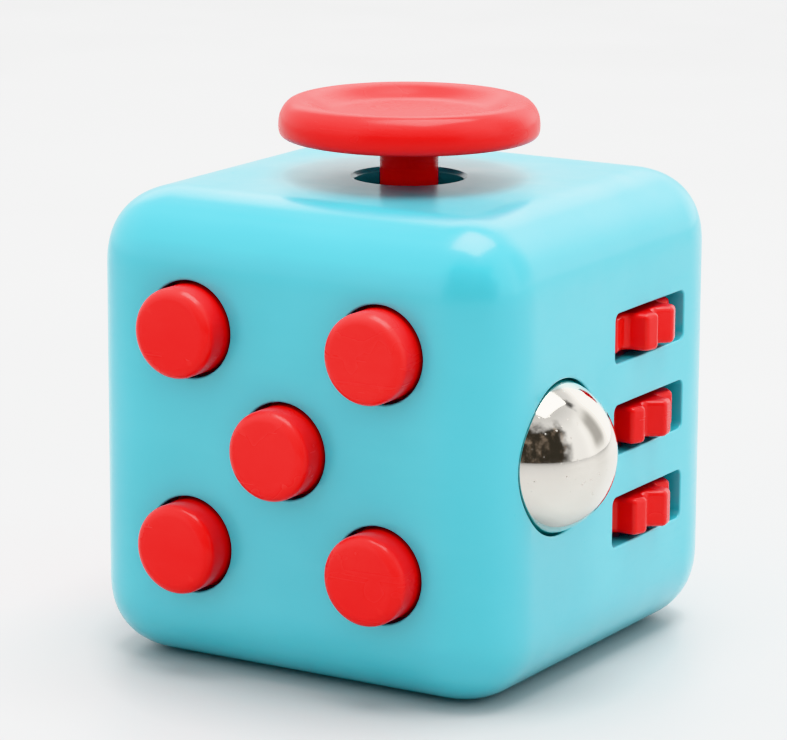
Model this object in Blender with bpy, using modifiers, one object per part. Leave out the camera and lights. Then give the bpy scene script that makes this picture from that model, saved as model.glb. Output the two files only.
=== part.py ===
# Fidget cube: a 33 mm pocket cube with a different thing to fiddle with on each face.
# Frame: +Z up, origin on the table at the centre of the cube's underside.
#   top (+Z)    gliding thumb stick          front (-Y)  five push buttons
#   right (+X)  rolling ball, three wheels   back (+Y)   rocker switch
#   left (-X)   spinning dial                bottom      thumb dish in the snap-in cover
# All driving dimensions are millimetres and are turned into metres by MM.
import math

import bmesh
import bpy
from mathutils import Matrix, Vector

MM = 0.001

# ---- case ----
CUBE = 33.0
HALF = CUBE / 2
CASE_ROUND = 4.8
WALL = 2.0
CAVITY = HALF - WALL
CAVITY_ROUND = 2.8
MID = 16.5
GAP = 0.1
COVER_HALF = 11.4
COVER_ROUND = 2.4
COVER_STEP = 1.0
COVER_PLUG = 10.4
DISH_R = 9.0
DISH_DEPTH = 1.5

# ---- push buttons on the front ----
BUTTON_R = 3.13
BUTTON_HOLE_R = 3.35
BUTTON_PROUD = 2.27
BUTTON_PITCH = 7.54
BUTTON_MID_Z = 16.62
BUTTON_EDGE = 0.8
BUTTON_FLANGE_R = 3.9
BUTTON_FLANGE_T = 0.8
BUTTON_NUB = 1.4
BACKPLATE_Y = -11.6
BACKPLATE_T = 1.0
BACKPLATE_SCREWS = ((-12.0, 5.0), (12.0, 5.0), (-12.0, 28.2), (12.0, 28.2))
DOME_R = 2.4

# ---- gliding stick on the top ----
STICK_HOLE_R = 3.82
STICK_STEM_R = 2.04
STICK_CAP_R = 9.15
STICK_UNDER = 35.8
STICK_TOP = 38.4
GLIDE_SCREW = 7.4

# ---- wheels and ball on the right ----
WHEEL_X, WHEEL_Y = 12.28, 5.1
WHEEL_Z = (23.15, 16.69, 10.15)
WHEEL_PHASE = (19.6, 7.5, 11.0)
WHEEL_R = 5.5
WHEEL_ROOT = 4.4
WHEEL_T = 2.6
WHEEL_TEETH = 10
SLOT_Y = (0.0, 10.2)
SLOT_H = 3.5
SHAFT_R = 0.8
WHEEL_BORE_R = 0.88
WHEEL_POST_Y = 12.2
WHEEL_POST_Z = (22.6, 10.6)
BALL = (14.57, -7.5, 16.5)
BALL_R = 5.5
BALL_SOCKET_R = 5.64
BALL_SEAT_R = 5.6
BALL_POST_Z = (24.0, 9.0)
POST_R = 1.3

# ---- rocker on the back ----
ROCKER_Y = 12.9
ROCKER_ARC = 8.1
ROCKER_OPEN = 8.25
ROCKER_HALF_W = 3.8
ROCKER_TILT = math.radians(-8.0)
ROCKER_SCREW = 10.4

# ---- dial on the left ----
DIAL_R = 9.1
DIAL_STEM_R = 2.05
DIAL_HOLE_R = 2.2

# ---- screws ----
SCREW_HEAD_R = 1.2
SCREW_HEAD_T = 0.7
SCREW_SHANK_R = 0.6
PILOT_R = 0.7

for old in list(bpy.data.objects):
    bpy.data.objects.remove(old, do_unlink=True)

scene = bpy.context.scene
parts = bpy.data.collections.new("fidget_cube")
cutters = bpy.data.collections.new("cutters")
scene.collection.children.link(parts)
scene.collection.children.link(cutters)

TEAL = ((0.095, 0.52, 0.60), 0.28, 0.0)
RED = ((0.72, 0.028, 0.026), 0.25, 0.0)
CHROME = ((0.82, 0.82, 0.83), 0.06, 1.0)
STEEL = ((0.55, 0.55, 0.57), 0.32, 1.0)
SPRING = ((0.62, 0.60, 0.56), 0.28, 1.0)
ACETAL = ((0.80, 0.80, 0.77), 0.45, 0.0)
SMOKE = ((0.10, 0.10, 0.11), 0.45, 0.0)
SILICONE = ((0.70, 0.72, 0.70), 0.6, 0.0)

UP = (0.0, 0.0, 0.0)
TO_FRONT = (math.pi / 2, 0.0, 0.0)  # local +Z points to -Y
TO_BACK = (-math.pi / 2, 0.0, 0.0)  # local +Z points to +Y
TO_RIGHT = (0.0, math.pi / 2, 0.0)  # local +Z points to +X
TO_LEFT = (0.0, -math.pi / 2, 0.0)  # local +Z points to -X
DOWN = (math.pi, 0.0, 0.0)  # local +Z points to -Z
SIDE_ON = (math.pi / 2, 0.0, math.pi / 2)  # local X, Y, Z point to +Y, +Z, +X


def material(name, look):
    rgb, rough, metal = look
    mat = bpy.data.materials.new(name)
    mat.use_nodes = True
    node = mat.node_tree.nodes["Principled BSDF"]
    node.inputs["Base Color"].default_value = (*rgb, 1.0)
    node.inputs["Roughness"].default_value = rough
    node.inputs["Metallic"].default_value = metal
    mat.diffuse_color = (*rgb, 1.0)
    mat.roughness = rough
    mat.metallic = metal
    return mat


def place(name, mesh, look, at=(0, 0, 0), turn=UP):
    """A finished part (look given) or a cutter (look None), with its origin at `at`."""
    obj = bpy.data.objects.new(name, mesh)
    obj.location = Vector(at) * MM
    obj.rotation_euler = turn
    if look is None:
        cutters.objects.link(obj)
        obj.hide_render = True
        obj.display_type = "WIRE"
    else:
        parts.objects.link(obj)
        mesh.materials.append(material(name, look))
    return obj


def from_bm(name, bm, look, at=(0, 0, 0), turn=UP):
    mesh = bpy.data.meshes.new(name)
    bmesh.ops.recalc_face_normals(bm, faces=bm.faces)
    bm.to_mesh(mesh)
    bm.free()
    return place(name, mesh, look, at, turn)


def add_box(bm, low, high):
    low, high = Vector(low) * MM, Vector(high) * MM
    made = bmesh.ops.create_cube(bm, size=1.0)
    bmesh.ops.scale(bm, vec=high - low, verts=made["verts"])
    bmesh.ops.translate(bm, vec=(high + low) / 2, verts=made["verts"])


def add_cylinder(bm, start, end, radius, sides=24, end_radius=None):
    start, end = Vector(start) * MM, Vector(end) * MM
    along = end - start
    turn = along.to_track_quat("Z", "Y").to_matrix().to_4x4()
    bmesh.ops.create_cone(
        bm,
        cap_ends=True,
        cap_tris=False,
        segments=sides,
        radius1=radius * MM,
        radius2=(radius if end_radius is None else end_radius) * MM,
        depth=along.length,
        matrix=Matrix.Translation((start + end) / 2) @ turn,
    )


def box(name, low, high, look=None, edge=0.0, segments=2, at=(0, 0, 0), turn=UP):
    bm = bmesh.new()
    add_box(bm, low, high)
    obj = from_bm(name, bm, look, at, turn)
    if edge:
        bevel(obj, edge, segments)
    return obj


def cylinder(name, start, end, radius, look=None, sides=24, end_radius=None):
    bm = bmesh.new()
    add_cylinder(bm, start, end, radius, sides, end_radius)
    return from_bm(name, bm, look)


def bevel(obj, width, segments=2, limit_deg=None):
    mod = obj.modifiers.new("round", "BEVEL")
    mod.width = width * MM
    mod.segments = segments
    if limit_deg is None:
        mod.limit_method = "NONE"
    else:
        mod.limit_method = "ANGLE"
        mod.angle_limit = math.radians(limit_deg)
    return mod


def lathe(name, profile, look, at=(0, 0, 0), turn=UP, steps=32, ring=False):
    """Turn a profile of (radius, height) points round local Z. Outer side runs downwards."""
    mesh = bpy.data.meshes.new(name)
    verts = [(r * MM, 0.0, h * MM) for r, h in profile]
    edges = [(i, i + 1) for i in range(len(profile) - 1)]
    if ring:
        edges.append((len(profile) - 1, 0))
    mesh.from_pydata(verts, edges, [])
    obj = place(name, mesh, look, at, turn)
    mod = obj.modifiers.new("turn", "SCREW")
    mod.axis = "Z"
    mod.angle = 2 * math.pi
    mod.steps = steps
    mod.render_steps = steps
    mod.use_merge_vertices = True
    mod.merge_threshold = 0.00001
    mod.use_smooth_shade = True
    return obj


def prism(name, outline, thickness, look, at=(0, 0, 0), turn=UP, holes=()):
    """A flat outline with round or shaped holes, `thickness` thick, centred on local Z."""
    curve = bpy.data.curves.new(name, "CURVE")
    curve.dimensions = "2D"
    curve.fill_mode = "BOTH"
    curve.extrude = thickness / 2 * MM
    for loop in [outline, *holes]:
        spline = curve.splines.new("POLY")
        spline.points.add(len(loop) - 1)
        for point, (x, y) in zip(spline.points, loop):
            point.co = (x * MM, y * MM, 0.0, 1.0)
        spline.use_cyclic_u = True
    maker = bpy.data.objects.new(name + "_outline", curve)
    scene.collection.objects.link(maker)
    bpy.context.view_layer.update()
    deps = bpy.context.evaluated_depsgraph_get()
    mesh = bpy.data.meshes.new_from_object(maker.evaluated_get(deps))
    bpy.data.objects.remove(maker, do_unlink=True)
    bm = bmesh.new()
    bm.from_mesh(mesh)
    bmesh.ops.remove_doubles(bm, verts=bm.verts, dist=0.000002)
    if not holes:
        # one face over each flat end, so that a bevel can run round it
        bmesh.ops.dissolve_limit(bm, angle_limit=0.002, verts=bm.verts, edges=bm.edges)
    bpy.data.meshes.remove(mesh)
    return from_bm(name, bm, look, at, turn)


def circle(cx, cy, r, sides=20):
    return [
        (cx + r * math.cos(2 * math.pi * i / sides), cy + r * math.sin(2 * math.pi * i / sides))
        for i in range(sides)
    ]


def rounded(x0, y0, x1, y1, r, segments=4):
    """Rounded rectangle, anticlockwise."""
    out = []
    for cx, cy, start in (
        (x1 - r, y1 - r, 0),
        (x0 + r, y1 - r, 90),
        (x0 + r, y0 + r, 180),
        (x1 - r, y0 + r, 270),
    ):
        for i in range(segments + 1):
            a = math.radians(start + 90 * i / segments)
            out.append((cx + r * math.cos(a), cy + r * math.sin(a)))
    return out


def combine(target, other, kind):
    mod = target.modifiers.new(kind.lower(), "BOOLEAN")
    mod.operation = kind
    mod.solver = "EXACT"
    mod.object = other
    return mod


def cut(target, other):
    return combine(target, other, "DIFFERENCE")


def join(target, other):
    return combine(target, other, "UNION")


def screw(name, at, turn, length):
    """Small screw: head on local +Z, shank down local -Z, hexagon socket in the head."""
    obj = lathe(
        name,
        [
            (0.0, SCREW_HEAD_T),
            (0.8, SCREW_HEAD_T),
            (SCREW_HEAD_R, SCREW_HEAD_T * 0.4),
            (SCREW_HEAD_R, 0.0),
            (SCREW_SHANK_R, 0.0),
            (SCREW_SHANK_R, -length + 0.35),
            (0.0, -length),
        ],
        STEEL,
        at,
        turn,
        steps=12,
    )
    bm = bmesh.new()
    add_cylinder(bm, (0, 0, SCREW_HEAD_T * 0.4), (0, 0, SCREW_HEAD_T * 2), 0.5, 6)
    cut(obj, from_bm(name + "_socket", bm, None, at, turn))
    return obj


# =====================================================================================
# Case: five walls in one moulding, with screw bosses inside, and the snap-in bottom cover
# =====================================================================================
button_spots = {
    "top_left": (-BUTTON_PITCH, BUTTON_MID_Z + BUTTON_PITCH),
    "top_right": (BUTTON_PITCH, BUTTON_MID_Z + BUTTON_PITCH),
    "centre": (0.0, BUTTON_MID_Z),
    "bottom_left": (-BUTTON_PITCH, BUTTON_MID_Z - BUTTON_PITCH),
    "bottom_right": (BUTTON_PITCH, BUTTON_MID_Z - BUTTON_PITCH),
}

main_shell = box("main_shell", (-HALF, -HALF, 0), (HALF, HALF, CUBE), TEAL, CASE_ROUND, 5)
cut(main_shell, box("hollow", (-CAVITY, -CAVITY, WALL), (CAVITY, CAVITY, CUBE - WALL), None, CAVITY_ROUND, 2))

bm = bmesh.new()
for x in (-GLIDE_SCREW, GLIDE_SCREW):
    for y in (-GLIDE_SCREW, GLIDE_SCREW):
        add_cylinder(bm, (x, y, CUBE - 1.2), (x, y, 28.65), 1.4, 10)
for x, z in BACKPLATE_SCREWS:
    add_cylinder(bm, (x, -HALF + 1.2, z), (x, BACKPLATE_Y - 0.05, z), POST_R, 10)
for z in BALL_POST_Z:
    add_cylinder(bm, (HALF - 1.2, BALL[1], z), (5.05, BALL[1], z), POST_R, 16)
for z in WHEEL_POST_Z:
    add_cylinder(bm, (HALF - 1.2, WHEEL_POST_Y, z), (6.35, WHEEL_POST_Y, z), POST_R, 10)
for side in (-1, 1):
    add_cylinder(bm, (0, HALF - 1.2, MID + side * ROCKER_SCREW), (0, 11.05, MID + side * ROCKER_SCREW), 1.4, 10)
join(main_shell, from_bm("bosses", bm, None))

bm = bmesh.new()
for x in (-GLIDE_SCREW, GLIDE_SCREW):
    for y in (-GLIDE_SCREW, GLIDE_SCREW):
        add_cylinder(bm, (x, y, 28.0), (x, y, 31.4), PILOT_R, 8)
for x, z in BACKPLATE_SCREWS:
    add_cylinder(bm, (x, -11.0, z), (x, -15.2, z), PILOT_R, 8)
for z in BALL_POST_Z:
    add_cylinder(bm, (4.0, BALL[1], z), (10.8, BALL[1], z), PILOT_R, 8)
for z in WHEEL_POST_Z:
    add_cylinder(bm, (5.0, WHEEL_POST_Y, z), (11.8, WHEEL_POST_Y, z), PILOT_R, 8)
for side in (-1, 1):
    add_cylinder(bm, (0, 10.5, MID + side * ROCKER_SCREW), (0, 15.2, MID + side * ROCKER_SCREW), PILOT_R, 8)
cut(main_shell, from_bm("pilot_holes", bm, None))

cut(main_shell, prism("cover_recess", rounded(-COVER_HALF - GAP, -COVER_HALF - GAP, COVER_HALF + GAP, COVER_HALF + GAP, COVER_ROUND + GAP), 2 * (COVER_STEP + 0.05), None))
cut(main_shell, prism("cover_opening", rounded(-COVER_PLUG - GAP, -COVER_PLUG - GAP, COVER_PLUG + GAP, COVER_PLUG + GAP, 1.6), 6.0, None))

bm = bmesh.new()
for x, z in button_spots.values():
    add_cylinder(bm, (x, -HALF - 1, z), (x, -HALF + WALL + 0.4, z), BUTTON_HOLE_R, 24)
cut(main_shell, from_bm("button_holes", bm, None))

cut(main_shell, cylinder("stick_hole", (0, 0, CUBE - WALL - 1), (0, 0, CUBE + 1), STICK_HOLE_R, None, 36))
cut(main_shell, cylinder("stick_hole_chamfer", (0, 0, CUBE - 0.25), (0, 0, CUBE + 0.25), STICK_HOLE_R - 0.01, None, 36, STICK_HOLE_R + 0.5))

for i, z in enumerate(WHEEL_Z):
    cut(main_shell, box(f"wheel_slot_{i}", (HALF - WALL - 0.8, SLOT_Y[0], z - SLOT_H / 2), (HALF + 1, SLOT_Y[1], z + SLOT_H / 2), None, 0.5, 2))

bm = bmesh.new()
bmesh.ops.create_uvsphere(bm, u_segments=36, v_segments=18, radius=BALL_SOCKET_R * MM)
cut(main_shell, from_bm("ball_socket", bm, None, BALL, TO_RIGHT))

cut(main_shell, cylinder("rocker_opening", (-ROCKER_HALF_W - 0.2, ROCKER_Y, MID), (ROCKER_HALF_W + 0.2, ROCKER_Y, MID), ROCKER_OPEN, None, 48))
cut(main_shell, cylinder("dial_hole", (-HALF - 1, 0, MID), (-HALF + WALL + 0.5, 0, MID), DIAL_HOLE_R, None, 20))

bottom_cover = prism("bottom_cover", rounded(-COVER_HALF, -COVER_HALF, COVER_HALF, COVER_HALF, COVER_ROUND), COVER_STEP, TEAL, (0, 0, COVER_STEP / 2))
join(bottom_cover, prism("cover_plug", rounded(-COVER_PLUG, -COVER_PLUG, COVER_PLUG, COVER_PLUG, 1.5), 1.8, None, (0, 0, 1.7)))
bm = bmesh.new()
for side in (-1, 1):
    add_box(bm, (min(side * 9.8, side * 10.9), -3.0, 2.15), (max(side * 9.8, side * 10.9), 3.0, 2.5))
join(bottom_cover, from_bm("cover_catches", bm, None))
dish_sphere = (DISH_R ** 2 + DISH_DEPTH ** 2) / (2 * DISH_DEPTH)
dish = [(0.0, DISH_DEPTH)]
for i in range(1, 7):
    r = DISH_R * i / 6 * 1.02
    dish.append((r, math.sqrt(dish_sphere ** 2 - r ** 2) - dish_sphere + DISH_DEPTH))
dish += [(DISH_R * 1.02, -1.0), (0.0, -1.0)]
cut(bottom_cover, lathe("thumb_dish", dish, None, steps=36))

# =====================================================================================
# Front: five push buttons, the domes behind them and the plate that holds the domes
# =====================================================================================
click = ("top_left", "centre", "bottom_right")
for spot, (x, z) in button_spots.items():
    top = WALL + BUTTON_PROUD
    profile = [(0.0, top), (BUTTON_R - BUTTON_EDGE, top)]
    for i in range(1, 4):
        a = math.radians(90 - 90 * i / 3)
        profile.append((BUTTON_R - BUTTON_EDGE + BUTTON_EDGE * math.cos(a), top - BUTTON_EDGE + BUTTON_EDGE * math.sin(a)))
    profile += [
        (BUTTON_R, -GAP),
        (BUTTON_FLANGE_R, -GAP),
        (BUTTON_FLANGE_R, -GAP - BUTTON_FLANGE_T),
        (1.2, -GAP - BUTTON_FLANGE_T),
        (1.0, -BUTTON_NUB),
        (0.0, -BUTTON_NUB),
    ]
    lathe(f"button_{spot}", profile, RED, (x, -CAVITY, z), TO_FRONT, 20)

    base = BACKPLATE_Y - 0.05
    height = 1.35
    if spot in click:
        # thin snap dome in spring steel
        ball = (DOME_R ** 2 + height ** 2) / (2 * height)
        reach = math.asin(DOME_R / ball)
        outer = [(ball * math.sin(reach * i / 3), ball * math.cos(reach * i / 3) - ball + height) for i in range(4)]
        inner = [((ball - 0.2) * math.sin(reach * i / 3), (ball - 0.2) * math.cos(reach * i / 3) - ball + height) for i in range(3, -1, -1)]
        inner[0] = (inner[0][0], 0.0)
        lathe(f"click_dome_{spot}", outer + inner, SPRING, (x, base, z), TO_FRONT, 16)
    else:
        # soft silicone dome of the two quiet buttons
        lathe(
            f"silent_dome_{spot}",
            [(0.0, height), (1.1, height), (1.3, height - 0.2), (2.0, 0.45), (2.6, 0.35), (2.6, 0.0), (1.7, 0.0), (1.0, 0.6), (0.0, 0.7)],
            SILICONE,
            (x, base, z),
            TO_FRONT,
            16,
        )

notch_x, notch_low, notch_high = 6.4, 10.2, 22.8
plate = rounded(-13.4, 3.6, 13.4, 29.6, 1.6)
# the right side of the outline steps in round the ball
upper = [p for p in plate if p[1] > MID]
lower = [p for p in plate if p[1] < MID]
outline = upper + lower + [(13.4, notch_low), (notch_x + 0.8, notch_low), (notch_x, notch_low + 0.8), (notch_x, notch_high - 0.8), (notch_x + 0.8, notch_high), (13.4, notch_high)]
prism(
    "button_backplate",
    outline,
    BACKPLATE_T,
    ACETAL,
    (0, BACKPLATE_Y + BACKPLATE_T / 2, 0),
    TO_FRONT,
    [circle(x, z, 0.75, 14) for x, z in BACKPLATE_SCREWS],
)
for i, (x, z) in enumerate(BACKPLATE_SCREWS):
    screw(f"backplate_screw_{i + 1}", (x, BACKPLATE_Y + BACKPLATE_T + 0.05, z), TO_BACK, 3.8)

# =====================================================================================
# Top: the gliding stick, its foot, cross slide, tray and return diaphragm
# =====================================================================================
lathe(
    "joystick_cap",
    [
        (0.0, 37.85 - CUBE),
        (5.4, 37.85 - CUBE),
        (6.2, 37.98 - CUBE),
        (6.8, 38.28 - CUBE),
        (7.4, STICK_TOP - CUBE),
        (8.15, 38.2 - CUBE),
        (8.75, 37.7 - CUBE),
        (9.0, 37.0 - CUBE),
        (STICK_CAP_R, STICK_UNDER - CUBE),
        (STICK_STEM_R, STICK_UNDER - CUBE),
        (STICK_STEM_R, 30.9 - CUBE),
        (PILOT_R, 30.9 - CUBE),
        (PILOT_R, 33.8 - CUBE),
        (0.0, 34.0 - CUBE),
    ],
    RED,
    (0, 0, CUBE),
    UP,
    32,
)

joystick_foot = cylinder("joystick_foot", (0, 0, 29.95), (0, 0, 30.8), 6.0, SMOKE, 32)
join(joystick_foot, box("foot_key", (-1.8, -1.8, 28.75), (1.8, 1.8, 30.2), None))
join(joystick_foot, cylinder("foot_post", (0, 0, 26.9), (0, 0, 29.0), 1.7, None, 20))
cut(joystick_foot, cylinder("foot_bore", (0, 0, 26.0), (0, 0, 32.0), 0.75, None, 14))
screw("joystick_screw", (0, 0, 26.85), DOWN, 6.4)

prism("glide_slider", rounded(-5.2, -4.6, 5.2, 4.6, 0.4, 2), 1.0, ACETAL, (0, 0, 29.3), UP, [rounded(-1.9, -3.2, 1.9, 3.2, 0.05, 1)])

glide_tray = prism("glide_tray", rounded(-8.8, -8.8, 8.8, 8.8, 1.5, 3), 1.1, ACETAL, (0, 0, 28.05))
bm = bmesh.new()
for side in (-1, 1):
    low, high = sorted((side * 4.75, side * 5.7))
    # the rails stand on the tray either side of the round opening
    for end in (-1, 1):
        left, right = sorted((end * 3.1, end * 6.7))
        add_box(bm, (left, low, 28.1), (right, high, 29.7))
join(glide_tray, from_bm("tray_rails", bm, None))
bm = bmesh.new()
add_cylinder(bm, (0, 0, 26), (0, 0, 31), 5.2, 28)
for x in (-GLIDE_SCREW, GLIDE_SCREW):
    for y in (-GLIDE_SCREW, GLIDE_SCREW):
        add_cylinder(bm, (x, y, 26), (x, y, 30), 0.75, 12)
cut(glide_tray, from_bm("tray_holes", bm, None))

wave = ((1.85, 0.0), (2.5, 0.0), (3.1, 0.28), (3.8, -0.22), (4.4, 0.0), (5.05, 0.0))
lathe(
    "centring_diaphragm",
    [(r, z + 0.2) for r, z in wave][::1] + [(r, z - 0.2) for r, z in wave][::-1],
    SILICONE,
    (0, 0, 28.0),
    UP,
    20,
    ring=True,
)
n = 0
for x in (-GLIDE_SCREW, GLIDE_SCREW):
    for y in (-GLIDE_SCREW, GLIDE_SCREW):
        n += 1
        screw(f"tray_screw_{n}", (x, y, 27.45), DOWN, 3.1)

# =====================================================================================
# Right: three thumb wheels on one shaft in a comb bracket, each with its click spring
# =====================================================================================
tooth = (
    (-15.0, WHEEL_ROOT + 0.1),
    (-7.6, WHEEL_R - 0.27),
    (-3.6, WHEEL_R - 0.01),
    (0.0, WHEEL_R),
    (3.6, WHEEL_R - 0.01),
    (7.6, WHEEL_R - 0.27),
    (15.0, WHEEL_ROOT + 0.1),
)
arms = ((25.0, 26.0), (19.5, 20.5), (13.0, 14.0), (6.9, 7.9))
for name, z, phase, above, below in zip(("upper", "middle", "lower"), WHEEL_Z, WHEEL_PHASE, arms, arms[1:]):
    outline = []
    for k in range(WHEEL_TEETH):
        for a, r in tooth:
            t = math.radians(phase + 360 / WHEEL_TEETH * k + a)
            outline.append((r * math.cos(t), r * math.sin(t)))
    wheel = prism(f"gear_{name}", outline, WHEEL_T, RED, (WHEEL_X, WHEEL_Y, z))
    bevel(wheel, 0.32, 1, 60)
    join(wheel, cylinder(f"hub_{name}", (WHEEL_X, WHEEL_Y, below[1] + 0.1), (WHEEL_X, WHEEL_Y, above[0] - 0.1), 1.9, None, 16))
    cut(wheel, cylinder(f"bore_{name}", (WHEEL_X, WHEEL_Y, z - 6), (WHEEL_X, WHEEL_Y, z + 6), WHEEL_BORE_R, None, 16))

    # the click spring sits in the gap that faces the bracket
    pitch = 360 / WHEEL_TEETH
    gap = 180 + ((phase + pitch / 2 - 180 + pitch / 2) % pitch) - pitch / 2
    y = WHEEL_Y + WHEEL_R * math.sin(math.radians(gap))
    leaf = [
        (6.56, y - 3.2),
        (6.56, y - 0.7),
        (7.12, y),
        (6.56, y + 0.7),
        (6.56, y + 1.7),
        (6.38, y + 1.7),
        (6.38, y + 0.62),
        (6.86, y),
        (6.38, y - 0.62),
        (6.38, y - 3.2),
    ]
    prism(f"gear_click_spring_{name}", leaf, 1.8, SPRING, (0, 0, z))

lathe(
    "gear_shaft",
    [(0.0, 26.4), (1.2, 26.35), (1.3, 26.08), (SHAFT_R, 26.08), (SHAFT_R, 6.5), (0.6, 6.3), (0.0, 6.3)],
    STEEL,
    (WHEEL_X, WHEEL_Y, 0),
    UP,
    16,
)

gear_bracket = box("gear_bracket", (5.3, -0.4, 6.9), (6.3, 9.8, 26.0), SMOKE)
bm = bmesh.new()
for low, high in arms:
    add_box(bm, (6.0, 3.4, low), (14.1, 6.8, high))
join(gear_bracket, from_bm("bracket_arms", bm, None))
bm = bmesh.new()
for z in WHEEL_POST_Z:
    add_box(bm, (5.3 + 0.02, 9.4, z - 1.8), (6.3 - 0.02, 13.8, z + 1.8))
join(gear_bracket, from_bm("bracket_ears", bm, None))
bm = bmesh.new()
for z in WHEEL_POST_Z:
    add_cylinder(bm, (4.5, WHEEL_POST_Y, z), (7.5, WHEEL_POST_Y, z), 0.75, 14)
add_cylinder(bm, (WHEEL_X, WHEEL_Y, 5.0), (WHEEL_X, WHEEL_Y, 28.0), 0.86, 16)
cut(gear_bracket, from_bm("bracket_holes", bm, None))
for i, z in enumerate(WHEEL_POST_Z):
    screw(f"gear_bracket_screw_{i + 1}", (5.25, WHEEL_POST_Y, z), TO_LEFT, 5.0)

# =====================================================================================
# Right: the rolling ball, the cup it turns in and the click dome behind the cup
# =====================================================================================
bm = bmesh.new()
bmesh.ops.create_uvsphere(bm, u_segments=28, v_segments=14, radius=BALL_R * MM)
steel_ball = from_bm("steel_ball", bm, CHROME, BALL)

ball_cup = cylinder("ball_cup", (7.6, BALL[1], BALL[2]), (10.4, BALL[1], BALL[2]), 4.4, ACETAL, 24)
join(ball_cup, box("cup_guide", (7.62, BALL[1] - 1.9, BALL_POST_Z[1] - 1.9), (8.8, BALL[1] + 1.9, BALL_POST_Z[0] + 1.9), None, 0.3, 1))
join(ball_cup, cylinder("cup_stem", (6.6, BALL[1], BALL[2]), (8.2, BALL[1], BALL[2]), 1.2, None, 20))
bm = bmesh.new()
for z in BALL_POST_Z:
    add_cylinder(bm, (5.0, BALL[1], z), (12.0, BALL[1], z), POST_R + 0.1, 16)
cut(ball_cup, from_bm("cup_guide_holes", bm, None))
bm = bmesh.new()
bmesh.ops.create_uvsphere(bm, u_segments=24, v_segments=12, radius=BALL_SEAT_R * MM)
cut(ball_cup, from_bm("cup_seat", bm, None, BALL, TO_RIGHT))

height = 1.4
ball = (DOME_R ** 2 + height ** 2) / (2 * height)
reach = math.asin(DOME_R / ball)
outer = [(ball * math.sin(reach * i / 3), ball * math.cos(reach * i / 3) - ball + height) for i in range(4)]
inner = [((ball - 0.2) * math.sin(reach * i / 3), (ball - 0.2) * math.cos(reach * i / 3) - ball + height) for i in range(3, -1, -1)]
inner[0] = (inner[0][0], 0.0)
lathe("ball_click_dome", outer + inner, SPRING, (5.05, BALL[1], BALL[2]), TO_RIGHT, 16)

ball_switch_plate = box("ball_switch_plate", (4.0, -10.2, 7.1), (5.0, -4.8, 25.9), SMOKE, 0.3, 1)
bm = bmesh.new()
for z in BALL_POST_Z:
    add_cylinder(bm, (3.0, BALL[1], z), (6.0, BALL[1], z), 0.75, 14)
cut(ball_switch_plate, from_bm("switch_plate_holes", bm, None))
for i, z in enumerate(BALL_POST_Z):
    screw(f"ball_plate_screw_{i + 1}", (3.95, BALL[1], z), TO_LEFT, 5.0)

# =====================================================================================
# Back: rocker switch on a pin, with its bracket and over-centre spring
# =====================================================================================
front = []
half = 6.6
for i in range(9):
    v = -half + 2 * half * i / 8
    front.append((4.7 - 0.7 * (1 - (v / half) ** 2), v))
end = []
for i in range(6):
    u = 4.5 - (4.5 - 1.3) * i / 5
    end.append((u, math.sqrt(ROCKER_ARC ** 2 - u ** 2)))
back = [(0.6, 7.7), (-0.4, 1.7)]
hub = [(1.4 * math.cos(math.radians(a)), 1.4 * math.sin(math.radians(a))) for a in (115, 140, 165, 180, 195, 220, 245)]
shape = front + end + back + hub + [(u, -v) for u, v in reversed(back)] + [(u, -v) for u, v in reversed(end)]
c, s = math.cos(ROCKER_TILT), math.sin(ROCKER_TILT)
shape = [(u * c - v * s, u * s + v * c) for u, v in shape]
rocker = prism("rocker", shape, 2 * ROCKER_HALF_W, RED, (0, ROCKER_Y, MID), SIDE_ON)
bevel(rocker, 0.28, 1, 60)
cut(rocker, cylinder("rocker_bore", (-6, ROCKER_Y, MID), (6, ROCKER_Y, MID), WHEEL_BORE_R, None, 16))
cylinder("rocker_pin", (-5.15, ROCKER_Y, MID), (5.15, ROCKER_Y, MID), SHAFT_R, STEEL, 16)

rocker_bracket = prism(
    "rocker_bracket",
    [(-2.1, 4.5), (2.1, 4.5), (2.1, 12.4), (5.2, 13.4), (5.2, 19.6), (2.1, 20.6), (2.1, 28.5), (-2.1, 28.5), (-2.1, 20.6), (-5.2, 19.6), (-5.2, 13.4), (-2.1, 12.4)],
    0.8,
    SMOKE,
    (0, 10.6, 0),
    TO_FRONT,
    [circle(0, MID + side * ROCKER_SCREW, 0.75, 14) for side in (-1, 1)],
)
bm = bmesh.new()
for side in (-1, 1):
    low, high = sorted((side * 4.2, side * 5.18))
    add_box(bm, (low, 10.5, 14.6), (high, 14.3, 18.4))
join(rocker_bracket, from_bm("bracket_cheeks", bm, None))
cut(rocker_bracket, cylinder("rocker_pin_holes", (-7, ROCKER_Y, MID), (7, ROCKER_Y, MID), 0.86, None, 16))
prism(
    "rocker_spring",
    [(11.06, -3.0), (11.24, -3.0), (11.4, -0.8), (11.44, 0.0), (11.4, 0.8), (11.24, 3.0), (11.06, 3.0), (11.2, 0.8), (11.24, 0.0), (11.2, -0.8)],
    2.4,
    SPRING,
    (0, 0, MID),
    SIDE_ON,
)
for i, side in enumerate((-1, 1)):
    screw(f"rocker_bracket_screw_{i + 1}", (0, 10.15, MID + side * ROCKER_SCREW), TO_FRONT, 4.4)

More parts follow.
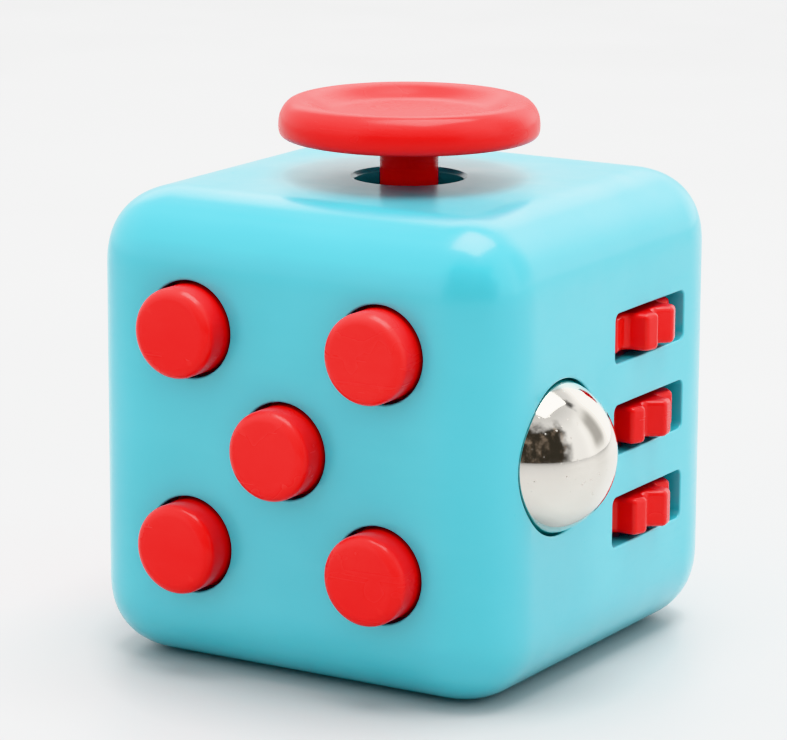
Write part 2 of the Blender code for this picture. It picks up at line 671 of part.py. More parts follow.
# =====================================================================================
# Left: spinning dial with a finger dimple, its retaining washer and screw
# =====================================================================================
dial = lathe(
    "dial",
    [
        (0.0, 2.45),
        (5.4, 2.45),
        (6.2, 2.58),
        (6.8, 2.88),
        (7.4, 3.0),
        (8.15, 2.8),
        (8.75, 2.3),
        (8.95, 1.6),
        (DIAL_R, 0.3),
        (DIAL_STEM_R, 0.3),
        (DIAL_STEM_R, -2.1),
        (PILOT_R, -2.1),
        (PILOT_R, 0.6),
        (0.0, 0.8),
    ],
    RED,
    (-HALF, 0, MID),
    TO_LEFT,
    32,
)
bm = bmesh.new()
bmesh.ops.create_uvsphere(bm, u_segments=20, v_segments=14, radius=2.92 * MM)
cut(dial, from_bm("finger_dimple", bm, None, (-HALF - 4.37, 0, MID + 3.6), TO_LEFT))
lathe("dial_retainer", [(4.6, -2.15), (4.6, -2.95), (0.75, -2.95), (0.75, -2.15)], ACETAL, (-HALF, 0, MID), TO_LEFT, 28, ring=True)
screw("dial_screw", (-HALF + 3.0, 0, MID), TO_RIGHT, 3.3)

# =====================================================================================
# Shading: smooth round pieces, sharp where the surface really turns
# =====================================================================================
for obj in parts.objects:
    for poly in obj.data.polygons:
        poly.use_smooth = True
    if obj.data.polygons:
        obj.data.set_sharp_from_angle(angle=math.radians(40))
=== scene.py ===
import math

import bmesh
import bpy
import numpy as np
from mathutils import Matrix, Vector, noise


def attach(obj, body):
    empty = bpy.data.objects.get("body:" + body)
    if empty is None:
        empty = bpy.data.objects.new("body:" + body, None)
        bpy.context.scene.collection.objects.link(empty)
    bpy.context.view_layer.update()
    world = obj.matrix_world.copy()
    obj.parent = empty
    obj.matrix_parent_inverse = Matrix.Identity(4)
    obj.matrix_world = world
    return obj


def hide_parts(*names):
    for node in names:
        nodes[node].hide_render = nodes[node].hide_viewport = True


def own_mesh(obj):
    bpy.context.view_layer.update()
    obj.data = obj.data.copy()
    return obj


MM = 0.001
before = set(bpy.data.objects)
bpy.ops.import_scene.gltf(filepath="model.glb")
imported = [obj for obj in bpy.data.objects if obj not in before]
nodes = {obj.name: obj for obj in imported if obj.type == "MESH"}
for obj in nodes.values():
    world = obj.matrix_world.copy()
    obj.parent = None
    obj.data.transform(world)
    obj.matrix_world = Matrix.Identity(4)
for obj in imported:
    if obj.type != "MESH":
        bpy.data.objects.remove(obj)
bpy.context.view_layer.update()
scene = bpy.context.scene

# ---- sizes, in millimetres, as in the CAD ----
CUBE = 33.0
HALF = 16.5
CASE_ROUND = 4.8
CASE_POWER = 2.4
CASE_EASE = CASE_ROUND * 1.165
WALL = 2.0
CAVITY = 14.5
MID = 16.5
BUTTON_R, BUTTON_HOLE_R, BUTTON_PROUD, BUTTON_EDGE = 3.13, 3.35, 2.27, 0.8
BUTTON_SPOTS = {
    "top_left": (-7.54, 24.16),
    "top_right": (7.54, 24.16),
    "centre": (0.0, 16.62),
    "bottom_left": (-7.54, 9.08),
    "bottom_right": (7.54, 9.08),
}
BACKPLATE_SCREWS = ((-12.0, 5.0), (12.0, 5.0), (-12.0, 28.2), (12.0, 28.2))
GLIDE_SCREW = 7.4
WHEEL_X, WHEEL_Y = 12.28, 5.1
WHEELS = {"upper": (23.15, 19.6), "middle": (16.69, 7.5), "lower": (10.15, 11.0)}
ARMS = ((25.0, 26.0), (19.5, 20.5), (13.0, 14.0), (6.9, 7.9))
BALL = (14.57, -7.5, 16.5)
BALL_R = 5.5
SOCKET_R = 5.64
WHEEL_POSTS = (22.6, 10.6)
BALL_POSTS = (24.0, 9.0)
ROCKER_Y, ROCKER_ARC, ROCKER_OPEN, ROCKER_HALF_W = 12.9, 8.1, 8.25, 3.8
ROCKER_TILT = math.radians(-8.0)
ROCKER_SCREW = 10.4

UP = Matrix.Identity(4)
TO_FRONT = Matrix.Rotation(math.pi / 2, 4, "X")
TO_BACK = Matrix.Rotation(-math.pi / 2, 4, "X")
TO_RIGHT = Matrix.Rotation(math.pi / 2, 4, "Y")
TO_LEFT = Matrix.Rotation(-math.pi / 2, 4, "Y")


def at(x, y, z):
    return Matrix.Translation((x, y, z))


# =====================================================================================
# Mesh helpers
# =====================================================================================
def obj_from(name, verts, faces, place=None):
    mesh = bpy.data.meshes.new(name)
    mesh.from_pydata([tuple(map(float, v)) for v in verts], [], faces)
    if place is not None:
        mesh.transform(place)
    bm = bmesh.new()
    bm.from_mesh(mesh)
    bmesh.ops.recalc_face_normals(bm, faces=bm.faces)
    bm.to_mesh(mesh)
    bm.free()
    obj = bpy.data.objects.new(name, mesh)
    scene.collection.objects.link(obj)
    return obj


def merge(name, *objs):
    """Several meshes that don't touch, as one object."""
    bm = bmesh.new()
    for o in objs:
        bm.from_mesh(o.data)
        bpy.data.objects.remove(o, do_unlink=True)
    mesh = bpy.data.meshes.new(name)
    bm.to_mesh(mesh)
    bm.free()
    obj = bpy.data.objects.new(name, mesh)
    scene.collection.objects.link(obj)
    return obj


def revolve(name, profile, steps, place=None, wobble=None):
    """Turn (radius, height) points round Z. A point of radius 0 is a pole."""
    verts, rings = [], []
    for r, h in profile:
        if r < 1e-9:
            rings.append([len(verts)])
            verts.append((0.0, 0.0, h))
        else:
            ring = []
            for i in range(steps):
                a = 2 * math.pi * i / steps
                ring.append(len(verts))
                verts.append((r * math.cos(a), r * math.sin(a), h))
            rings.append(ring)
    faces = []
    for p, q in zip(rings, rings[1:]):
        if len(p) == 1 and len(q) == 1:
            continue
        for i in range(steps):
            j = (i + 1) % steps
            if len(p) == 1:
                faces.append((p[0], q[i], q[j]))
            elif len(q) == 1:
                faces.append((p[i], q[0], p[j]))
            else:
                faces.append((p[i], q[i], q[j], p[j]))
    if len(rings[0]) > 1 and len(rings[-1]) > 1 and profile[0] != profile[-1]:
        # a ring section closes on itself
        p, q = rings[-1], rings[0]
        for i in range(steps):
            j = (i + 1) % steps
            faces.append((p[i], q[i], q[j], p[j]))
    return obj_from(name, verts, faces, place)


def loft(name, loops, place=None):
    """Skin closed loops of equal count, capped at both ends."""
    n = len(loops[0])
    verts = [p for loop in loops for p in loop]
    faces = []
    for k in range(len(loops) - 1):
        for i in range(n):
            j = (i + 1) % n
            faces.append((k * n + i, k * n + j, (k + 1) * n + j, (k + 1) * n + i))
    faces.append(tuple(range(n))[::-1])
    faces.append(tuple((len(loops) - 1) * n + i for i in range(n)))
    return obj_from(name, verts, faces, place)


def rounded(x0, y0, x1, y1, r, segments=8):
    out = []
    for cx, cy, start in (
        (x1 - r, y1 - r, 0),
        (x0 + r, y1 - r, 90),
        (x0 + r, y0 + r, 180),
        (x1 - r, y0 + r, 270),
    ):
        for i in range(segments + 1):
            a = math.radians(start + 90 * i / segments)
            out.append((cx + r * math.cos(a), cy + r * math.sin(a)))
    return out


def soft_polygon(corners, segments=6):
    """A closed outline from (x, y, corner radius), with the outward direction at each point. Anticlockwise."""
    points, n = [], len(corners)
    for i in range(n):
        a = np.array(corners[i - 1][:2], float)
        b = np.array(corners[i][:2], float)
        c = np.array(corners[(i + 1) % n][:2], float)
        r = corners[i][2]
        u, v = (a - b) / np.linalg.norm(a - b), (c - b) / np.linalg.norm(c - b)
        inner = math.acos(max(-1.0, min(1.0, float(u @ v))))
        cross = (-u)[0] * v[1] - (-u)[1] * v[0]
        side_in = np.array((-u[1], u[0]))  # outward of the incoming edge: right of travel
        normal_in = np.array(((-u)[1], -(-u)[0]))
        normal_out = np.array((v[1], -v[0]))
        if r <= 0 or math.pi - inner < 1e-3:
            m = normal_in + normal_out
            points.append((b, m / np.linalg.norm(m)))
            continue
        reach = r / math.tan(inner / 2)
        start = b + u * reach
        turn = math.atan2(normal_out[1], normal_out[0]) - math.atan2(normal_in[1], normal_in[0])
        turn = (turn + math.pi) % (2 * math.pi) - math.pi
        sign = 1.0 if cross > 0 else -1.0
        centre = start - sign * r * normal_in
        base = math.atan2(normal_in[1], normal_in[0])
        for k in range(segments + 1):
            t = base + turn * k / segments
            d = np.array((math.cos(t), math.sin(t)))
            points.append((centre + sign * r * d, d))
    return points


def edge_sections(points, low, high, r, segments=6):
    """Loops of an outline swept from low to high, both ends rounded by r."""
    loops = []
    steps = [(low + r - r * math.cos(math.pi / 2 * (1 - k / segments)), r - r * math.sin(math.pi / 2 * k / segments)) for k in range(segments + 1)]
    steps = []
    for k in range(segments + 1):
        t = math.pi / 2 * k / segments
        steps.append((low + r * (1 - math.sin(t)), r * (1 - math.cos(t))))
    steps = steps[::-1]
    # from the flat end (inset r) to the side (inset 0)
    rise = [(low + r * (1 - math.cos(math.pi / 2 * k / segments)), r * (1 - math.sin(math.pi / 2 * k / segments))) for k in range(segments + 1)]
    fall = [(high - (h - low), inset) for h, inset in reversed(rise)]
    for h, inset in rise + fall:
        loops.append([(p[0] - n[0] * inset, p[1] - n[1] * inset, h) for p, n in points])
    return loops


def rounded_box(name, half, centre, r, arc=10, flat=12, power=2.0):
    """A box with round edges: a grid on each side, drawn out to a ball of radius r at the corners.
    With power above 2 the rounding eases in from the flat."""
    inner = [h - r for h in half]

    def line(n_flat, limit):
        out = []
        for k in range(-arc, 0):
            out.append((-limit, -math.tan(math.radians(45 * -k / arc))))
        for k in range(n_flat + 1):
            out.append((-limit + 2 * limit * k / n_flat, 0.0))
        for k in range(1, arc + 1):
            out.append((limit, math.tan(math.radians(45 * k / arc))))
        return out

    verts, index, faces = [], {}, []

    def vertex(p):
        key = tuple(round(float(c), 5) for c in p)
        if key not in index:
            index[key] = len(verts)
            verts.append(p)
        return index[key]

    for axis in range(3):
        u, v = (axis + 1) % 3, (axis + 2) % 3
        lu, lv = line(flat, inner[u]), line(flat, inner[v])
        for side in (-1, 1):
            grid = []
            for pu, tu in lu:
                row = []
                for pv, tv in lv:
                    d = np.zeros(3)
                    d[axis], d[u], d[v] = side, tu, tv
                    d /= np.sum(np.abs(d) ** power) ** (1 / power)
                    p = np.zeros(3)
                    p[axis], p[u], p[v] = side * inner[axis], pu, pv
                    row.append(vertex(p + r * d + np.array(centre)))
                grid.append(row)
            for i in range(len(lu) - 1):
                for j in range(len(lv) - 1):
                    quad = (grid[i][j], grid[i + 1][j], grid[i + 1][j + 1], grid[i][j + 1])
                    faces.append(quad if side > 0 else quad[::-1])
    return obj_from(name, verts, faces)


def block(name, low, high):
    x0, y0, z0 = low
    x1, y1, z1 = high
    verts = [(x, y, z) for x in (x0, x1) for y in (y0, y1) for z in (z0, z1)]
    faces = [(0, 1, 3, 2), (4, 6, 7, 5), (0, 4, 5, 1), (2, 3, 7, 6), (0, 2, 6, 4), (1, 5, 7, 3)]
    return obj_from(name, verts, faces)


def rod(name, start, end, r, steps=24):
    start, end = Vector(start), Vector(end)
    along = end - start
    turn = along.to_track_quat("Z", "Y").to_matrix().to_4x4()
    return revolve(name, [(0, 0), (r, 0), (r, along.length), (0, along.length)], steps, Matrix.Translation(start) @ turn)


def boolean(target, other, kind):
    mod = target.modifiers.new(kind.lower(), "BOOLEAN")
    mod.operation = kind
    mod.solver = "EXACT"
    mod.object = other
    settle(target)
    bpy.data.objects.remove(other, do_unlink=True)
    return target


def cut(target, other):
    return boolean(target, other, "DIFFERENCE")


def join(target, other):
    return boolean(target, other, "UNION")


def settle(obj):
    """Modifiers become the mesh."""
    bpy.context.view_layer.update()
    deps = bpy.context.evaluated_depsgraph_get()
    mesh = bpy.data.meshes.new_from_object(obj.evaluated_get(deps))
    obj.modifiers.clear()
    obj.data = mesh


def flare(r, depth, edge, out=1.0, segments=6):
    """Profile of a round hole cutter: inner end first, mouth at height 0 rounded by edge."""
    profile = [(0.0, -depth), (r, -depth)]
    for k in range(segments + 1):
        a = math.pi / 2 * k / segments
        profile.append((r + edge * (1 - math.cos(a)), -edge + (edge + 0.004) * math.sin(a)))
    profile += [(r + edge, out), (0.0, out)]
    return profile


def slot_loops(outline_of, depth, edge, out=1.0, segments=5):
    """Loops of a slot cutter whose mouth at height 0 is rounded. outline_of(offset, height) gives a loop."""
    heights = [(-depth, 0.0)]
    for k in range(segments + 1):
        a = math.pi / 2 * k / segments
        heights.append((-edge + (edge + 0.004) * math.sin(a), edge * (1 - math.cos(a))))
    heights.append((out, edge))
    return [[(x, y, h) for x, y in outline_of(o, h)] for h, o in heights]


def smooth_curve(points, per=6):
    """Catmull-Rom curve through (radius, height) points."""
    out = []
    pts = [np.array(p, float) for p in points]
    for i in range(len(pts) - 1):
        p0 = pts[max(i - 1, 0)]
        p1, p2 = pts[i], pts[i + 1]
        p3 = pts[min(i + 2, len(pts) - 1)]
        for k in range(per):
            t = k / per
            out.append(
                tuple(
                    0.5 * ((2 * p1) + (-p0 + p2) * t + (2 * p0 - 5 * p1 + 4 * p2 - p3) * t * t + (-p0 + 3 * p1 - 3 * p2 + p3) * t ** 3)
                )
            )
    out.append(tuple(pts[-1]))
    return out


def finish_piece(obj, name, body, node, mat, sharp=32.0, weighted=True, weld=0.0008):
    """Millimetres to metres, clean-up, smooth shading, and the body it rides on."""
    bm = bmesh.new()
    bm.from_mesh(obj.data)
    bmesh.ops.remove_doubles(bm, verts=bm.verts, dist=weld)
    bmesh.ops.dissolve_degenerate(bm, dist=weld, edges=bm.edges)
    bm.to_mesh(obj.data)
    bm.free()
    obj.data.transform(Matrix.Scale(MM, 4))
    obj.name = name
    obj.data.name = name
    obj.data.materials.clear()
    obj.data.materials.append(mat)
    for poly in obj.data.polygons:
        poly.use_smooth = True
        poly.material_index = 0
    obj.data.set_sharp_from_angle(angle=math.radians(sharp))
    if weighted:
        mod = obj.modifiers.new("normals", "WEIGHTED_NORMAL")
        mod.mode = "FACE_AREA"
        mod.weight = 60
        mod.keep_sharp = True
    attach(obj, body)
    if node:
        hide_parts(node)
    return obj


# =====================================================================================
# Materials
# =====================================================================================
class Tree:
    """Short names for the nodes of one material."""

    def __init__(self, name):
        self.mat = bpy.data.materials.new(name)
        self.mat.use_nodes = True
        self.tree = self.mat.node_tree
        self.bsdf = self.tree.nodes["Principled BSDF"]
        self.coords = self.tree.nodes.new("ShaderNodeTexCoord").outputs["Object"]

    def node(self, kind, inputs=None, **props):
        n = self.tree.nodes.new(kind)
        for key, value in props.items():
            setattr(n, key, value)
        for key, value in (inputs or {}).items():
            self.put(n.inputs[key], value)
        return n

    def put(self, socket, value):
        if isinstance(value, bpy.types.NodeSocket):
            self.tree.links.new(value, socket)
        else:
            socket.default_value = value

    def noise(self, scale, detail=2.0, rough=0.5, stretch=None, offset=(0, 0, 0)):
        vector = self.node(
            "ShaderNodeMapping",
            {"Vector": self.coords, "Scale": stretch or (1, 1, 1), "Location": offset},
        ).outputs["Vector"]
        return self.node("ShaderNodeTexNoise", {"Vector": vector, "Scale": scale, "Detail": detail, "Roughness": rough}).outputs["Fac"]

    def cells(self, scale, randomness=1.0):
        return self.node("ShaderNodeTexVoronoi", {"Vector": self.coords, "Scale": scale, "Randomness": randomness})

    def remap(self, value, a, b, c, d, smooth=True):
        return self.node(
            "ShaderNodeMapRange",
            {"Value": value, "From Min": a, "From Max": b, "To Min": c, "To Max": d},
            interpolation_type="SMOOTHSTEP" if smooth else "LINEAR",
        ).outputs["Result"]

    def math(self, op, a, b=0.0, clamp=False):
        n = self.node("ShaderNodeMath", operation=op, use_clamp=clamp)
        self.put(n.inputs[0], a)
        self.put(n.inputs[1], b)
        return n.outputs[0]

    def mix(self, factor, a, b):
        n = self.node("ShaderNodeMix", data_type="RGBA")
        self.put(n.inputs["Factor"], factor)
        self.put(n.inputs[6], a)
        self.put(n.inputs[7], b)
        return n.outputs[2]

    def bump(self, height, strength, distance, normal=None):
        n = self.node("ShaderNodeBump", {"Strength": strength, "Distance": distance, "Height": height})
        if normal is not None:
            self.put(n.inputs["Normal"], normal)
        return n.outputs["Normal"]

    def finish(self, colour, roughness, normal=None, **fixed):
        self.put(self.bsdf.inputs["Base Color"], colour)
        self.put(self.bsdf.inputs["Roughness"], roughness)
        if normal is not None:
            self.put(self.bsdf.inputs["Normal"], normal)
        for key, value in fixed.items():
            self.bsdf.inputs[key.replace("_", " ")].default_value = value
        return self.mat


def rgb(r, g, b):
    return (r, g, b, 1.0)


def gloss_plastic(name, body, deep, pale, rough=0.16, pits=0.5, coat=0.0, seed=0.0, veil=0.12, sheen_level=0.5):
    """Polished moulded plastic: slow colour drift, faint flow lines, worn edges, pits, hairlines and dust."""
    t = Tree(name)
    drift = t.remap(t.noise(70.0, 2.0, 0.5, offset=(seed, seed, seed)), 0.35, 0.65, 0.0, 1.0)
    flow = t.remap(t.noise(240.0, 3.0, 0.6, stretch=(0.35, 1.0, 1.6), offset=(seed, 0, 0)), 0.4, 0.75, 0.0, 1.0)
    colour = t.mix(drift, body, deep)
    colour = t.mix(t.math("MULTIPLY", flow, 0.18), colour, pale)
    edge = t.remap(t.node("ShaderNodeNewGeometry").outputs["Pointiness"], 0.52, 0.62, 0.0, 0.30)
    colour = t.mix(edge, colour, pale)
    speck = t.remap(t.cells(620.0).outputs["Distance"], 0.035, 0.075, 1.0, 0.0)
    keep = t.remap(t.noise(310.0, 0.0, offset=(0, seed, 3.0)), 0.64, 0.70, 0.0, 1.0)
    dust = t.math("MULTIPLY", speck, keep)
    colour = t.mix(t.math("MULTIPLY", dust, 0.25), colour, deep)
    hair = t.remap(t.noise(420.0, 1.0, stretch=(0.06, 1.0, 5.0), offset=(0, 0, seed)), 0.62, 0.68, 0.0, 1.0)
    roughness = t.remap(t.noise(150.0, 3.0, offset=(seed, 2.0, 0)), 0.3, 0.7, rough * 0.82, rough * 1.22)
    roughness = t.math("ADD", roughness, t.math("MULTIPLY", t.math("ADD", hair, edge), 0.03))
    peel = t.noise(900.0, 1.0, 0.4)
    pit = t.remap(t.cells(1500.0).outputs["Distance"], 0.0, 0.16, 0.0, 1.0)
    some = t.remap(t.noise(480.0, 0.0, offset=(7.0, seed, 0)), 0.60, 0.68, 1.0, 0.0)
    pit = t.math("MAXIMUM", pit, some)
    normal = t.bump(peel, 0.35, 0.000012)
    normal = t.bump(pit, pits, 0.00002, normal)
    return t.finish(colour, t.math("ADD", roughness, t.math("MULTIPLY", dust, 0.3)), normal, IOR=1.52, Coat_Weight=coat, Coat_Roughness=veil, Specular_IOR_Level=sheen_level)


def polished_metal(name, tint, dark, rough=0.05, dusty=1.0):
    """Mirror-bright plating under a little dust, with wipe marks."""
    t = Tree(name)
    smear = t.remap(t.noise(260.0, 4.0, 0.6), 0.35, 0.75, 0.0, 1.0)
    speck = t.remap(t.cells(1900.0).outputs["Distance"], 0.06, 0.16, 1.0, 0.0)
    patch = t.remap(t.noise(330.0, 3.0, 0.6, offset=(4.0, 1.0, 0)), 0.46, 0.66, 0.0, 1.0)
    dust = t.math("MULTIPLY", t.math("MULTIPLY", speck, patch), dusty)
    colour = t.mix(t.math("MULTIPLY", smear, 0.25), tint, dark)
    colour = t.mix(t.math("MULTIPLY", dust, 0.6), colour, rgb(0.62, 0.58, 0.52))
    hair = t.remap(t.noise(700.0, 2.0, stretch=(0.05, 1.0, 2.0)), 0.60, 0.70, 0.0, 0.04)
    roughness = t.math("ADD", t.remap(smear, 0.0, 1.0, rough * 0.8, rough * 1.5, False), hair)
    roughness = t.math("ADD", roughness, t.math("MULTIPLY", dust, 0.35))
    normal = t.bump(t.noise(420.0, 2.0, 0.5), 0.5, 0.000012)
    normal = t.bump(dust, 0.3, 0.000015, normal)
    metal = t.remap(dust, 0.0, 1.0, 1.0, 0.55, False)
    t.put(t.bsdf.inputs["Metallic"], metal)
    return t.finish(colour, roughness, normal)


def machined_steel(name, tint, dark, rough=0.3, stretch=(1, 1, 12)):
    """Turned or rolled steel: fine drawn lines, darker in the low spots."""
    t = Tree(name)
    lines = t.noise(900.0, 3.0, 0.6, stretch=stretch)
    patches = t.noise(350.0, 3.0, 0.6)
    colour = t.mix(t.remap(patches, 0.35, 0.7, 0.0, 1.0), tint, dark)
    roughness = t.math("ADD", t.remap(lines, 0.3, 0.7, rough * 0.75, rough * 1.3), t.remap(patches, 0.5, 0.8, 0.0, 0.08))
    normal = t.bump(lines, 0.5, 0.00001)
    return t.finish(colour, roughness, normal, Metallic=1.0)


def matt_plastic(name, body, deep, rough=0.45, grain=1100.0, depth=0.00003):
    """Spark-eroded inner mouldings: fine even grain, slow colour drift, rubbed edges."""
    t = Tree(name)
    drift = t.remap(t.noise(160.0, 3.0, 0.6), 0.3, 0.7, 0.0, 1.0)
    colour = t.mix(drift, body, deep)
    rub = t.remap(t.node("ShaderNodeNewGeometry").outputs["Pointiness"], 0.51, 0.60, 0.0, 0.5)
    colour = t.mix(rub, colour, rgb(*[min(1.0, c * 1.5 + 0.03) for c in body[:3]]))
    skin = t.noise(grain, 4.0, 0.6)
    roughness = t.remap(skin, 0.3, 0.7, rough * 0.85, rough * 1.15)
    return t.finish(colour, t.math("SUBTRACT", roughness, t.math("MULTIPLY", rub, 0.2)), t.bump(skin, 0.6, depth), IOR=1.48)


def soft_rubber(name, body, deep):
    """Clear-ish silicone with a dusty bloom."""
    t = Tree(name)
    bloom = t.remap(t.noise(500.0, 4.0, 0.6), 0.4, 0.7, 0.0, 1.0)
    colour = t.mix(bloom, body, deep)
    return t.finish(colour, t.remap(bloom, 0.0, 1.0, 0.42, 0.68, False), t.bump(t.noise(1300.0, 2.0), 0.4, 0.00002), IOR=1.41, Sheen_Weight=0.15, Subsurface_Weight=0.15, Subsurface_Radius=(0.001, 0.001, 0.001))


teal = gloss_plastic("teal_plastic", rgb(0.074, 0.555, 0.660), rgb(0.065, 0.532, 0.636), rgb(0.090, 0.585, 0.685), 0.36, 0.10, coat=0.9, veil=0.17)
red = gloss_plastic("red_plastic", rgb(0.86, 0.020, 0.018), rgb(0.81, 0.015, 0.014), rgb(0.90, 0.034, 0.028), 0.24, 0.22, coat=0.0, seed=2.0, sheen_level=0.36)
red_wheel = gloss_plastic("red_wheel_plastic", rgb(0.84, 0.018, 0.016), rgb(0.76, 0.013, 0.012), rgb(0.90, 0.036, 0.030), 0.24, 0.8, coat=0.08, seed=5.0, sheen_level=0.42)
chrome = polished_metal("chrome_ball", rgb(0.745, 0.72, 0.672), rgb(0.66, 0.63, 0.58), 0.075, 1.6)
steel = machined_steel("screw_steel", rgb(0.56, 0.56, 0.57), rgb(0.40, 0.40, 0.41), 0.30)
spring = machined_steel("spring_steel", rgb(0.66, 0.64, 0.60), rgb(0.50, 0.47, 0.43), 0.26, (8, 1, 1))
acetal = matt_plastic("acetal", rgb(0.80, 0.80, 0.77), rgb(0.72, 0.72, 0.68), 0.42)
smoke = matt_plastic("smoke_plastic", rgb(0.045, 0.047, 0.052), rgb(0.030, 0.031, 0.035), 0.48)
silicone = soft_rubber("silicone", rgb(0.66, 0.69, 0.66), rgb(0.54, 0.57, 0.55))

# =====================================================================================
# Case
# =====================================================================================
shell = rounded_box("shell", (HALF, HALF, HALF), (0, 0, MID), CASE_EASE, 14, 12, CASE_POWER)
cut(shell, rounded_box("hollow", (CAVITY, CAVITY, CAVITY), (0, 0, MID), 2.8, 4, 1))

bosses = []
for x in (-GLIDE_SCREW, GLIDE_SCREW):
    for y in (-GLIDE_SCREW, GLIDE_SCREW):
        bosses.append(rod("boss", (x, y, CUBE - 1.2), (x, y, 28.65), 1.4))
for x, z in BACKPLATE_SCREWS:
    bosses.append(rod("boss", (x, -HALF + 1.2, z), (x, -11.65, z), 1.3))
for z in BALL_POSTS:
    bosses.append(rod("boss", (HALF - 1.2, BALL[1], z), (5.05, BALL[1], z), 1.3))
for z in WHEEL_POSTS:
    bosses.append(rod("boss", (HALF - 1.2, 12.2, z), (6.35, 12.2, z), 1.3))
for side in (-1, 1):
    bosses.append(rod("boss", (0, HALF - 1.2, MID + side * ROCKER_SCREW), (0, 11.05, MID + side * ROCKER_SCREW), 1.4))
join(shell, merge("bosses", *bosses))

pilots = []
for x in (-GLIDE_SCREW, GLIDE_SCREW):
    for y in (-GLIDE_SCREW, GLIDE_SCREW):
        pilots.append(rod("pilot", (x, y, 28.0), (x, y, 31.4), 0.7, 16))
for x, z in BACKPLATE_SCREWS:
    pilots.append(rod("pilot", (x, -11.0, z), (x, -15.2, z), 0.7, 16))
for z in BALL_POSTS:
    pilots.append(rod("pilot", (4.0, BALL[1], z), (10.8, BALL[1], z), 0.7, 16))
for z in WHEEL_POSTS:
    pilots.append(rod("pilot", (5.0, 12.2, z), (11.8, 12.2, z), 0.7, 16))
for side in (-1, 1):
    pilots.append(rod("pilot", (0, 10.5, MID + side * ROCKER_SCREW), (0, 15.2, MID + side * ROCKER_SCREW), 0.7, 16))
cut(shell, merge("pilots", *pilots))

# openings whose mouths are rounded off: they don't touch, so they are cut together
mouths = []
for x, z in BUTTON_SPOTS.values():
    mouths.append(revolve("mouth", flare(BUTTON_HOLE_R, 2.6, 0.16), 96, at(x, -HALF, z) @ TO_FRONT))
stick_mouth = [(0.0, -2.8), (3.82, -2.8), (3.82, -0.33), (3.827, -0.285), (3.85, -0.245), (4.04, -0.052), (4.085, -0.018), (4.14, 0.004), (4.14, 1.0), (0.0, 1.0)]
mouths.append(revolve("mouth", stick_mouth, 128, at(0, 0, CUBE)))
for z, _ in WHEELS.values():
    # local X to +Y, local Y to +Z, height to +X
    turn = Matrix(((0, 0, 1, HALF), (1, 0, 0, 0), (0, 1, 0, 0), (0, 0, 0, 1)))
    loops = slot_loops(lambda o, h, z=z: rounded(0.0 - o, z - 1.75 - o, 10.2 + o, z + 1.75 + o, 0.5 + o), 2.8, 0.13)
    mouths.append(loft("mouth", loops, turn))
mouths.append(revolve("mouth", flare(2.2, 2.6, 0.2), 64, at(-HALF, 0, MID) @ TO_LEFT))


def rocker_outline(o, h):
    # the end walls follow the rocker's swing
    y = HALF + min(h, 0.0)
    reach = math.sqrt(ROCKER_OPEN ** 2 - (y - ROCKER_Y) ** 2)
    return rounded(-ROCKER_HALF_W - 0.2 - o, MID - reach - o, ROCKER_HALF_W + 0.2 + o, MID + reach + o, 0.25 + o)


turn = Matrix(((-1, 0, 0, 0), (0, 0, 1, HALF), (0, 1, 0, 0), (0, 0, 0, 1)))
loops = [[(x, y, h) for x, y in rocker_outline(0.0, h)] for h in (-2.8, -2.1, -1.4, -0.7)]
loops += slot_loops(rocker_outline, 0.35, 0.16)
mouths.append(loft("mouth", loops, turn))

loops = [[(x, y, h) for x, y in rounded(-e, -e, e, e, r)] for e, r, h in (
    (10.5, 1.6, 3.2), (10.5, 1.6, 1.05), (11.5, 2.5, 1.05), (11.5, 2.5, 0.15), (11.52, 2.52, 0.08), (11.58, 2.58, 0.02), (11.66, 2.66, -0.004), (11.66, 2.66, -1.0))]
mouths.append(loft("mouth", loops))
cut(shell, merge("mouths", *mouths))


def outer_x(y, z):
    """X of the case's skin on the right, at y and z."""
    dy = max(abs(y) - (HALF - CASE_EASE), 0.0) / CASE_EASE
    dz = max(abs(z - MID) - (HALF - CASE_EASE), 0.0) / CASE_EASE
    return HALF - CASE_EASE + CASE_EASE * max(1.0 - dy ** CASE_POWER - dz ** CASE_POWER, 0.0) ** (1 / CASE_POWER)


